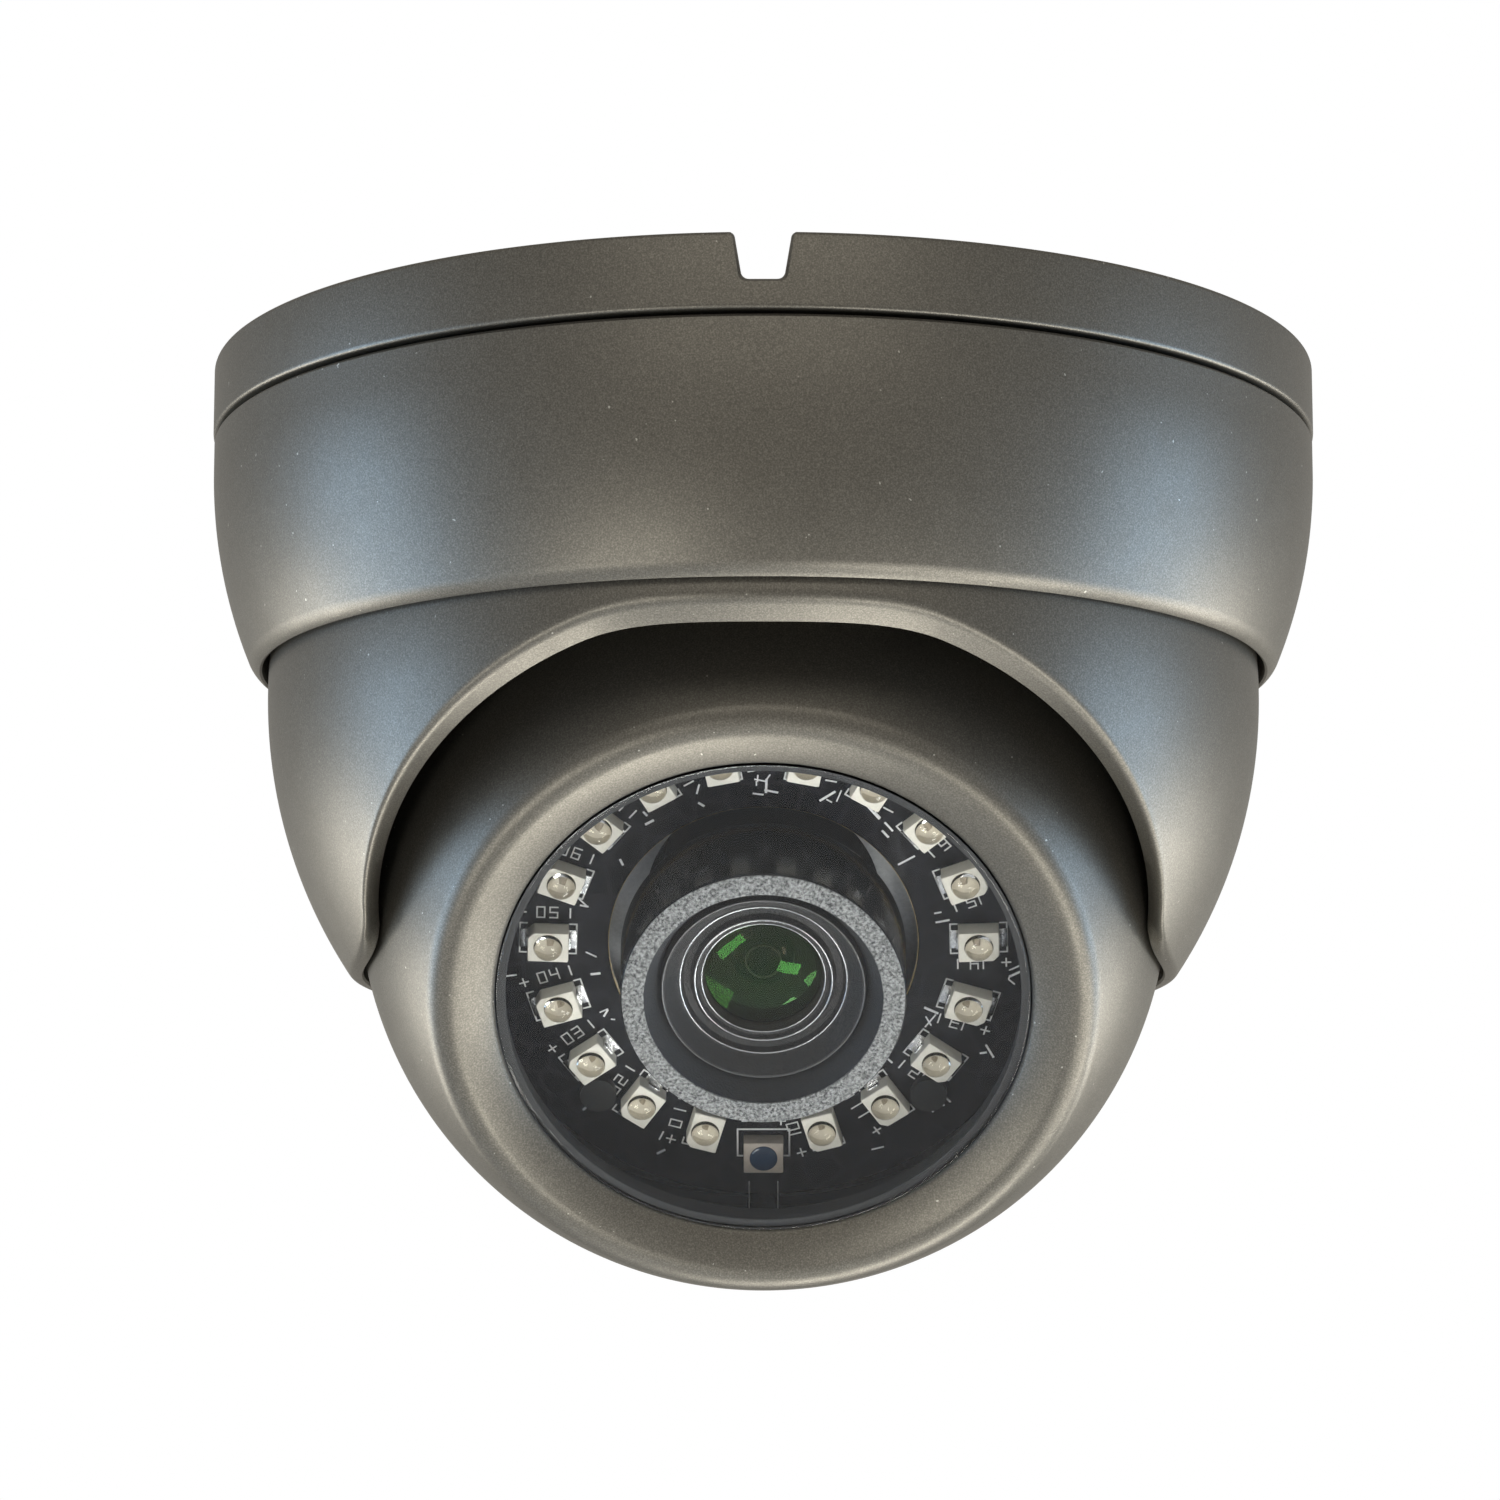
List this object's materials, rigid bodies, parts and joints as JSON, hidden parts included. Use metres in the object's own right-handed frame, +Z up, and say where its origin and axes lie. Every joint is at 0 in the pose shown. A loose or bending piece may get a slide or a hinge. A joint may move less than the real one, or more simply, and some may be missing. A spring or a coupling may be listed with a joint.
{
  "type": "dome cctv camera",
  "caption": "Ceiling dome camera: a round base with a bayonet trim ring, a panning hood and an aimable ball with a lens behind a window in a ring of infra-red LEDs.",
  "frame": {"origin": "centre of the base's mounting face, on the ceiling", "axes": "+Z up into the ceiling along the pan axis, -Y the way the lens looks at rest, +X to the right as seen from the front"},
  "size_m": [0.094, 0.094, 0.0778],
  "materials": {
    "housing_paint": "satin, fine metallic speckle",
    "rubber_black": "matte",
    "bearing_polymer": "matte",
    "fastener_steel": "satin",
    "window_clear": "polished",
    "led_board_black": "gloss solder mask, white marks",
    "led_ceramic": "satin",
    "led_clear": "clear resin",
    "sensor_blue": "gloss",
    "screw_black": "satin black",
    "brass": "satin",
    "plate_alu": "satin",
    "shield_foam": "coarse matte grain",
    "lens_black": "black anodised, satin",
    "nut_steel": "satin",
    "lens_glass": "coated, green reflection",
    "holder_black": "matte",
    "filter_glass": "coated",
    "board_green": "gloss solder mask",
    "chip_black": "matte",
    "connector_white": "matte",
    "wire_red": "satin"
  },
  "bodies": {
    "base": {"base_plate": "housing_paint", "base_gasket": "rubber_black", "cable_grommet": "rubber_black"},
    "ring": {"trim_ring": "housing_paint"},
    "hood": {"pan_hood": "housing_paint", "friction_ring": "bearing_polymer", "tilt_pins": "fastener_steel"},
    "shoes": {"groove_shoes": "bearing_polymer"},
    "ball": {"ball_front": "housing_paint", "ball_rear": "housing_paint", "ball_seal": "rubber_black", "ball_screws": "fastener_steel", "rear_gland": "rubber_black", "window": "window_clear", "window_gasket": "rubber_black", "led_board": "led_board_black", "led_packages": "led_ceramic", "led_domes": "led_clear", "light_sensor": "led_ceramic", "light_sensor_eye": "sensor_blue", "led_board_screws": "screw_black", "led_board_posts": "brass", "chassis_plate": "plate_alu", "lens_shield": "shield_foam", "lens_barrel": "lens_black", "lens_front_glass": "lens_glass", "lens_retainer": "lens_black", "lens_rear_glass": "lens_glass", "lens_lock_nut": "nut_steel", "lens_holder": "holder_black", "ir_filter": "filter_glass", "sensor_board": "board_green", "image_sensor": "chip_black", "isp_chip": "chip_black", "board_standoffs": "brass", "plate_nuts": "fastener_steel", "board_spacers": "brass", "power_board": "board_green", "power_inductor": "chip_black", "lead_connectors": "connector_white", "board_screws": "fastener_steel", "led_leads": "wire_red"}
  },
  "joints": [
    {"name": "ring_twist", "type": "hinge", "parent": "base", "child": "ring", "pos_m": [0, 0, 0], "axis": [0, 0, 1], "range_deg": [0, 28]},
    {"name": "pan", "type": "hinge", "parent": "base", "child": "hood", "pos_m": [0, 0, 0], "axis": [0, 0, 1], "range_deg": [-175, 175]},
    {"name": "tilt", "type": "hinge", "parent": "hood", "child": "shoes", "pos_m": [0, 0, -0.0436], "axis": [1, 0, 0], "range_deg": [-16.8, 53.2]},
    {"name": "roll", "type": "hinge", "parent": "shoes", "child": "ball", "pos_m": [0, 0, -0.0436], "axis": [0, -0.8007, -0.599], "range_deg": [-175, 175]}
  ]
}
